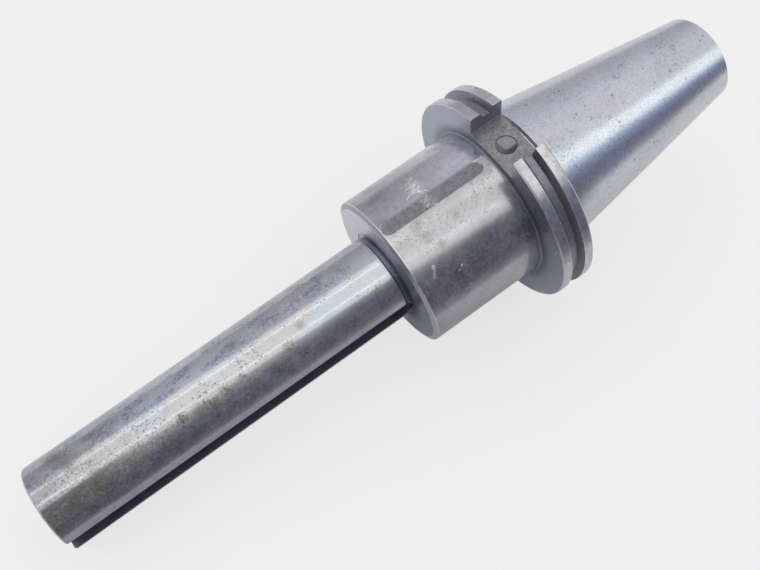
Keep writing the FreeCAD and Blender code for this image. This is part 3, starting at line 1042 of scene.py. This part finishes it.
def collar_steel():
    steel = Steel("collar steel", (0.41, 0.41, 0.43), 0.2)
    tree = steel.tree
    steel.layer(steel.stains(85.0, 0.54, 0.2), (0.31, 0.305, 0.30), strength=0.75)
    steel.layer(steel.stains(420.0, 0.55, 0.14), (0.27, 0.262, 0.255), strength=0.14)
    add_turning(steel, 2600.0, 0.0003 * MM)
    add_grain(steel, 0.26)
    add_skin(steel, 200.0, 0.10)
    add_skin(steel, 800.0, 0.10)
    # Painted light: the side away from the keyway is paler, and palest near the flange
    far_side = rest_of(tree, ramp_between(tree, steel.sideways, -8 * MM, -1 * MM))
    steel.layer(far_side, (0.42, 0.395, 0.415), strength=0.7)
    by_flange = rest_of(tree, ramp_between(tree, steel.along, 24 * MM, 62 * MM))
    steel.layer(both(tree, far_side, by_flange), (0.58, 0.57, 0.60), strength=0.9)
    fine_stains = both(tree, far_side, steel.stains(520.0, 0.52, 0.1))
    steel.layer(fine_stains, (0.29, 0.27, 0.30), strength=0.3)
    # Painted shade in the fillet at the collar's root
    at_root = maths(tree, "LESS_THAN", steel.along, FLANGE_FRONT_X + COLLAR_FILLET)
    steel.layer(at_root, PAINTED_SHADE_COLOUR, rougher=0.15, strength=0.8)
    add_pits(steel, 0.3, fineness=900.0, patch_fineness=70.0, strength=0.35)
    add_panel_dirt_and_shading(steel)
    for spot in steel.spots(BLOTCHES):
        steel.layer(spot, (0.20, 0.195, 0.18), rougher=0.12, strength=0.5)
    broken = steel.stains(500.0, 0.47, 0.15)
    rust = both(tree, along_line(tree, steel.place, RUST_STREAK, 1.7 * MM), broken)
    steel.layer(rust, RUST_COLOUR, rougher=0.3, less_metal=0.5, strength=0.6)
    add_scuffs(steel, broken)
    add_face_finish_and_shading(steel)
    return steel.finish()


# Pitted patches on the arbor: how far along each one is, its direction in degrees from up
# towards the keyway's side, and its radius, in millimetres
PITTED = [
    (148, -13, 4.5),
    (167, -13, 5),
    (163, 5, 3),
    (165, 31, 6),
    (157, 29, 5),
    (137, 44, 7),
    (127, 28, 5),
    (123, 47, 4.5),
    (165, 52, 5.5),
    (177, 27, 6),
    (149, 27, 4),
    (151, 54, 6),
]

# Dull stains on the arbor: where each one is, and its radius, in millimetres
ARBOR_STAINS = [
    ((145.3, -5.1, 18.4), 5),
    ((119.1, 4.7, 18.5), 4),
    ((170.0, 9.0, 16.8), 6),
    ((215.0, 8.0, 17.3), 8),
    ((222.0, -4.0, 18.6), 9),
    ((226.0, -10.0, 16.2), 9),
]


def on_arbor(x, direction):
    """A place on the arbor's surface in millimetres, from its direction in degrees from up."""
    angle = math.radians(direction)
    return (x, ARBOR_R / MM * math.sin(angle), ARBOR_R / MM * math.cos(angle))


def add_upper_clusters(steel, long_place):
    """Away from the keyway the arbor has a pale bluish painted reflection in its middle, with
    clusters of violet specks.
    """
    tree = steel.tree
    far_side = rest_of(tree, ramp_between(tree, steel.sideways, -5 * MM, 1 * MM))
    paler = maths(
        tree, "SUBTRACT", ramp_between(tree, steel.along, 125 * MM, 175 * MM),
        ramp_between(tree, steel.along, 190 * MM, 215 * MM),
    )
    # Painted reflection: a pale bluish band
    steel.layer(both(tree, far_side, paler), (0.50, 0.55, 0.62), strength=0.4)
    gathered = both(tree, steel.stains(150.0, 0.53, 0.07, long_place), far_side)
    for fineness, strength in ((480.0, 0.5), (1000.0, 0.6)):
        specks = both(tree, gathered, steel.stains(fineness, 0.52, 0.07))
        steel.layer(specks, (0.17, 0.16, 0.22), less_metal=0.08, strength=strength)


def add_lower_mottle(steel, to_nose, pitted, by_keyway):
    """Between the lamps' mirror images and the keyway the arbor is mottled with olive stains."""
    tree = steel.tree
    lower = both(
        tree, ramp_between(tree, steel.sideways, 4 * MM, 9 * MM), rest_of(tree, by_keyway)
    )
    mottled = maths(
        tree, "ADD", both(tree, to_nose, 0.5), both(tree, pitted, 0.6), clamp=True
    )
    mottled = both(tree, mottled, lower)
    clustered = maths(tree, "ADD", both(tree, pitted, 0.55), both(tree, mottled, 0.3))
    clustered = maths(tree, "SUBTRACT", clustered, both(tree, by_keyway, 0.6))
    add_pits(steel, clustered, fineness=760.0, patch_fineness=140.0, strength=0.75)
    for fineness, colour in (
        (330.0, (0.25, 0.245, 0.215)), (620.0, (0.17, 0.165, 0.145)),
        (1050.0, (0.04, 0.04, 0.035)),
    ):
        speckle = both(tree, mottled, steel.stains(fineness, 0.53, 0.08))
        steel.layer(speckle, colour, less_metal=0.1, strength=0.75)


def add_keyway_shadow(steel):
    """The keyway is dark and bluish inside, and greyer at its mouth. The undercut is dark too."""
    tree = steel.tree
    in_keyway = both(
        tree, maths(tree, "LESS_THAN", steel.radius, ARBOR_R - 0.15 * MM),
        maths(tree, "GREATER_THAN", steel.sideways, KEYWAY_FLOOR - 0.1 * MM),
    )
    undercut_end = SHOULDER_X + UNDERCUT_WIDTH
    in_keyway = both(tree, in_keyway, maths(tree, "GREATER_THAN", steel.along, undercut_end))
    steel.layer(in_keyway, (0.09, 0.085, 0.165), rougher=0.25, less_metal=0.2, strength=0.92)
    mouth = both(tree, in_keyway, ramp_between(tree, steel.sideways, 15.6 * MM, 18.2 * MM))
    steel.layer(mouth, (0.10, 0.094, 0.09), less_metal=0.2, strength=0.85)
    in_undercut = maths(tree, "LESS_THAN", steel.along, undercut_end + 0.2 * MM)
    steel.layer(in_undercut, (0.19, 0.185, 0.26), rougher=0.15, strength=0.85)


def arbor_steel():
    steel = Steel("arbor steel", (0.45, 0.45, 0.46), 0.145)
    tree = steel.tree
    long_place = stretched(tree, steel.place, (0.6, 1.0, 1.0))
    clouds = steel.stains(55.0, 0.54, 0.16, long_place)
    steel.layer(clouds, (0.31, 0.31, 0.315), strength=0.5)
    cool = steel.stains(75.0, 0.56, 0.1, long_place)
    steel.layer(cool, (0.39, 0.45, 0.52), strength=0.6)
    add_turning(steel, 2600.0, 0.0003 * MM)
    add_grain(steel, 0.14)
    add_skin(steel, 170.0, 0.09)
    add_skin(steel, 800.0, 0.09)
    to_nose = ramp_between(tree, steel.along, 100 * MM, 225 * MM)
    dingy = both(tree, steel.stains(110.0, 0.5, 0.15), to_nose)
    steel.layer(dingy, (0.30, 0.295, 0.285), less_metal=0.05, strength=0.4)
    pitted = combine(tree, steel.spots([
        (on_arbor(x, direction), radius) for x, direction, radius in PITTED
    ]))
    by_keyway = ramp_between(tree, steel.sideways, 15 * MM, 17.5 * MM)
    spared = both(tree, by_keyway, 0.6)
    reach = maths(tree, "ADD", both(tree, to_nose, 0.38), 0.12)
    reach = maths(tree, "ADD", reach, both(tree, pitted, 0.4))
    reach = maths(tree, "SUBTRACT", reach, spared)
    add_pits(steel, reach, fineness=950.0, patch_fineness=60.0, strength=0.55)
    add_pits(steel, reach, fineness=1500.0, patch_fineness=90.0, strength=0.4)
    by_nose = both(tree, ramp_between(tree, steel.along, 160 * MM, 225 * MM), 0.4)
    by_nose = maths(tree, "SUBTRACT", by_nose, spared)
    add_pits(steel, by_nose, fineness=560.0, patch_fineness=70.0, strength=0.4)
    add_upper_clusters(steel, long_place)
    add_lower_mottle(steel, to_nose, pitted, by_keyway)
    for spot in steel.spots(ARBOR_STAINS):
        steel.layer(spot, (0.17, 0.17, 0.15), rougher=0.1, strength=0.6)
    add_keyway_shadow(steel)
    add_rim_wear_and_highlight(
        steel, [(NOSE_X - ARBOR_CHAMFER / 2, ARBOR_R - ARBOR_CHAMFER / 2)], strength=0.6
    )
    return steel.finish()


# The studio: a pale table under a soft tent of light. The tool lies on the rim of its flange and
# on its nose, so the table slopes a little against the tool's own axis.

REST_X = FLANGE_FRONT_X - FLANGE_CHAMFER
REST_Z = -math.sqrt(FLANGE_R ** 2 - (SLOT_WIDTH / 2) ** 2)
NOSE_REST_X = NOSE_X - ARBOR_CHAMFER
TABLE_TURN = math.atan2(-ARBOR_R - REST_Z, NOSE_REST_X - REST_X)
TABLE_SIZE = 12.0


def emission(name, colour, strength=1.0):
    material = bpy.data.materials.new(name)
    material.use_nodes = True
    tree = material.node_tree
    tree.nodes.clear()
    light = put(tree, "ShaderNodeEmission", {"Color": (*colour, 1), "Strength": strength})
    out = tree.nodes.new("ShaderNodeOutputMaterial")
    tree.links.new(light.outputs[0], out.inputs["Surface"])
    return material, light


def only_in_reflections(piece):
    piece.visible_camera = False
    piece.visible_diffuse = False
    piece.visible_transmission = False
    piece.visible_volume_scatter = False
    piece.visible_shadow = False


def make_table():
    work = bmesh.new()
    bmesh.ops.create_grid(work, x_segments=1, y_segments=1, size=TABLE_SIZE / 2)
    slope = Matrix.Rotation(-TABLE_TURN, 4, "Y")
    bmesh.ops.transform(work, matrix=Matrix.Translation((REST_X, 0, REST_Z)) @ slope,
                        verts=work.verts)
    table = new_piece("table", finish_mesh(work, "table"))
    table.data.materials.append(table_paper())


# The table's colour as the camera sees it, and as the steel mirrors it: all round the tool, under
# the arbor on the keyway's side, where it is a painted shadow, and far out on that side, where it
# is painted darker
TABLE_COLOUR = (0.87, 0.87, 0.872, 1)
FAR_TABLE_COLOUR = (0.84, 0.855, 0.90, 1)
NEAR_TABLE_COLOUR = (0.50, 0.50, 0.56, 1)
BEYOND_TABLE_COLOUR = (0.36, 0.37, 0.46, 1)

# How far its shadows are lifted where the camera or the steel sees them
SHADOW_LIFT = 0.8
REFLECTED_LIFT = 0.05


def table_paper():
    material = bpy.data.materials.new("pale table")
    material.use_nodes = True
    tree = material.node_tree
    tree.nodes.clear()
    path = tree.nodes.new("ShaderNodeLightPath")
    place = put(tree, "ShaderNodeTexCoord").outputs["Object"]
    along, sideways, _ = coordinates(tree, place)
    # Seen only in reflections: a painted shadow under the arbor on the keyway's side, and painted
    # darker far out on that side
    aside = maths(
        tree, "SUBTRACT", ramp_between(tree, sideways, -20 * MM, 10 * MM),
        ramp_between(tree, sideways, 80 * MM, 300 * MM),
    )
    under_arbor = both(tree, ramp_between(tree, along, 0.0, 120 * MM), aside)
    mirrored = mix_colour(tree, under_arbor, FAR_TABLE_COLOUR, NEAR_TABLE_COLOUR)
    beyond = ramp_between(tree, sideways, 220 * MM, 420 * MM)
    mirrored = mix_colour(tree, beyond, mirrored, BEYOND_TABLE_COLOUR)
    colour = mix_colour(tree, path.outputs["Is Glossy Ray"], TABLE_COLOUR, mirrored)
    matt = put(tree, "ShaderNodeBsdfDiffuse", {"Color": colour})
    plain = put(tree, "ShaderNodeEmission", {"Color": TABLE_COLOUR, "Strength": 1.0})
    direct = maths(
        tree, "MAXIMUM", path.outputs["Is Camera Ray"], path.outputs["Is Transmission Ray"]
    )
    lift = maths(
        tree, "ADD", both(tree, direct, SHADOW_LIFT),
        both(tree, path.outputs["Is Glossy Ray"], REFLECTED_LIFT),
    )
    mix = put(tree, "ShaderNodeMixShader", {0: lift, 1: matt.outputs[0], 2: plain.outputs[0]})
    out = tree.nodes.new("ShaderNodeOutputMaterial")
    tree.links.new(mix.outputs[0], out.inputs["Surface"])
    return material


# Light that the steel reflects, by the direction that it comes from: degrees from straight up,
# positive towards the keyway's side, with its brightness as a colour
TENT_RADIUS = 1.1
TENT_LENGTH = 5.0
TENT_LIGHT = [
    (-100, (0.54, 0.54, 0.61)),
    (-78, (0.60, 0.60, 0.68)),
    (-58, (0.71, 0.71, 0.81)),
    (-38, (0.82, 0.87, 1.00)),
    (-26, (0.92, 0.93, 0.97)),
    (24, (0.95, 0.96, 1.00)),
    (38, (0.62, 0.62, 0.66)),
    (52, (0.26, 0.27, 0.33)),
    (60, (0.20, 0.205, 0.30)),
    (86, (0.21, 0.22, 0.33)),
    (100, (0.27, 0.28, 0.33)),
]

# A dark sheet beside the keyway, close to the tool, seen only in reflections: it hides the far
# table from the steel and stands there as painted shade
SIDE_RADIUS = 0.13
SIDE_LOW_X, SIDE_HIGH_X = -0.08, 0.5
SIDE_SHADE = [
    (66, (0.175, 0.167, 0.235)),
    (86, (0.165, 0.157, 0.225)),
    (94, (0.20, 0.19, 0.255)),
    (101, (0.34, 0.33, 0.38)),
    (110, (0.49, 0.48, 0.53)),
]

# Lamps that show in the steel: distance from the tool axis, first and last direction in degrees
# from up where they pass over the middle of the arbor, first and last place along the axis, lean
# across the tool in degrees for each metre, colour and brightness
LAMP_MIDDLE_X = 0.14
LAMPS = {
    "window": (1.08, -13, 12, -1.9, -0.62, 35.0, (0.89, 0.95, 1.0), 1.7),
    "window_far": (1.07, -24, -12, -1.9, -1.25, 35.0, (0.95, 0.98, 1.0), 1.8),
    "window_low": (1.08, 12, 21, -1.9, -0.62, 35.0, (0.62, 0.75, 0.98), 1.0),
    "window_sill": (1.08, 21, 34, -1.9, -0.62, 35.0, (0.26, 0.34, 0.55), 1.0),
    "ceiling": (1.08, -31, 28, -0.45, 0.42, 38.0, (1.0, 1.0, 0.985), 1.57),
    "tube_near": (1.05, 13.5, 14.9, -0.4, 0.9, 38.0, (1.0, 1.0, 0.98), 3.8),
    "tube_far": (1.05, -18.7, -17.3, -0.4, 0.9, 38.0, (1.0, 1.0, 0.98), 3.8),
    "doorway": (1.07, 15, 62, 0.34, 1.5, 0.0, (0.24, 0.23, 0.25), 1.0),
}


def arc_sheet(name, radius, start, end, low_x, high_x, lean=0.0, steps=24):
    """A sheet bent about the tool axis, from one direction to another in degrees from up."""
    work = bmesh.new()
    bmesh.ops.create_grid(work, x_segments=steps, y_segments=steps, size=0.5)
    for vert in work.verts:
        x = low_x + (high_x - low_x) * (vert.co.x + 0.5)
        degrees = start + (end - start) * (vert.co.y + 0.5) - lean * (x - LAMP_MIDDLE_X)
        angle = math.radians(degrees)
        vert.co = (x, radius * math.sin(angle), radius * math.cos(angle))
    return new_piece(name, finish_mesh(work, name))


def light_by_direction(name, light_stops):
    """A glow whose colour follows the direction from the tool axis, in degrees from up."""
    first, last = light_stops[0][0], light_stops[-1][0]
    material, light = emission(name, (1, 1, 1))
    tree = material.node_tree
    place = put(tree, "ShaderNodeTexCoord").outputs["Object"]
    _, sideways, upwards = coordinates(tree, place)
    share = put(tree, "ShaderNodeMapRange", {
        "Value": maths(tree, "ARCTAN2", sideways, upwards),
        "From Min": math.radians(first), "From Max": math.radians(last),
    }).outputs["Result"]
    ramp = put(tree, "ShaderNodeValToRGB", {"Fac": share})
    stops = ramp.color_ramp.elements
    while len(stops) < len(light_stops):
        stops.new(0.5)
    for stop, (degrees, colour) in zip(stops, light_stops):
        stop.position = (degrees - first) / (last - first)
        stop.color = (*colour, 1)
    tree.links.new(ramp.outputs["Color"], light.inputs["Color"])
    return material


def make_tent():
    tent = arc_sheet("light_tent", TENT_RADIUS, TENT_LIGHT[0][0], TENT_LIGHT[-1][0],
                     -TENT_LENGTH / 2, TENT_LENGTH / 2, steps=96)
    tent.data.materials.append(light_by_direction("tent light", TENT_LIGHT))
    # The dark sheet of painted shade beside the keyway
    side = arc_sheet("shade_sheet", SIDE_RADIUS, SIDE_SHADE[0][0], SIDE_SHADE[-1][0],
                     SIDE_LOW_X, SIDE_HIGH_X)
    side.data.materials.append(light_by_direction("side shade", SIDE_SHADE))
    for sheet in (tent, side):
        only_in_reflections(sheet)


def make_lamps():
    for name, (radius, start, end, low_x, high_x, lean, colour, strength) in LAMPS.items():
        lamp = arc_sheet(name, radius, start, end, low_x, high_x, lean)
        material, _ = emission(f"{name} light", colour, strength)
        lamp.data.materials.append(material)
        only_in_reflections(lamp)


KEY_PLACE = (0.3, -0.6, 1.5)
KEY_SIZE = 1.2
KEY_POWER = 3.0
WORLD_LIGHT = (0.94, 0.935, 0.93, 1)


def make_light():
    key = bpy.data.lights.new("key", "AREA")
    key.shape = "SQUARE"
    key.size = KEY_SIZE
    key.energy = KEY_POWER
    lamp = bpy.data.objects.new("key", key)
    lamp.location = KEY_PLACE
    lamp.rotation_euler = (-Vector(KEY_PLACE)).to_track_quat("-Z", "Y").to_euler()
    lamp.visible_glossy = False
    bpy.context.scene.collection.objects.link(lamp)

    world = bpy.data.worlds.new("studio")
    bpy.context.scene.world = world
    world.use_nodes = True
    tree = world.node_tree
    tree.nodes.clear()
    # The world looks like the table wherever the camera sees it, also by reflection
    path = tree.nodes.new("ShaderNodeLightPath")
    seen = combine(tree, [
        path.outputs[f"Is {kind} Ray"] for kind in ("Camera", "Glossy", "Transmission")
    ])
    colour = mix_colour(tree, seen, WORLD_LIGHT, TABLE_COLOUR)
    back = put(tree, "ShaderNodeBackground", {"Color": colour, "Strength": 1.0})
    out = tree.nodes.new("ShaderNodeOutputWorld")
    tree.links.new(back.outputs[0], out.inputs["Surface"])
    bpy.context.scene.view_settings.view_transform = "Standard"


# The camera looks down at the tool from beside its nose, as in the photograph
CAMERA_PLACE = (155.4 * MM, 158.5 * MM, 368.0 * MM)
CAMERA_TURN = (24.778, 4.810, 143.891)
CAMERA_LENS = 45.53


def make_camera():
    data = bpy.data.cameras.new("camera")
    data.sensor_fit = "HORIZONTAL"
    data.sensor_width = 36
    data.lens = CAMERA_LENS
    data.clip_start = 0.01
    camera = bpy.data.objects.new("camera", data)
    camera.location = CAMERA_PLACE
    camera.rotation_euler = [math.radians(turn) for turn in CAMERA_TURN]
    bpy.context.scene.collection.objects.link(camera)
    bpy.context.scene.camera = camera


def dress(piece, material, slot, *nodes):
    """Give a piece its finish, tie it to the part and hide the CAD nodes that it is drawn in place
    of.
    """
    piece.data.materials.clear()
    piece.data.materials.append(material)
    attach(piece, "root")
    if nodes:
        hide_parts(*nodes)


def make_tool():
    taper = taper_steel()
    arbor = arbor_steel()
    dress(make_taper_shank(), taper, "ground_taper", "taper_shank")
    dress(make_knob_thread(), taper, "ground_taper")
    dress(make_flange(), flange_steel(), "flange_steel", "drive_flange")
    dress(make_collar(), collar_steel(), "collar_steel", "shoulder_collar")
    dress(make_arbor(), arbor, "arbor_steel", "arbor_shaft")
    dress(make_nose_thread(), arbor, "arbor_steel")


make_tool()
make_table()
make_tent()
make_lamps()
make_light()
make_camera()
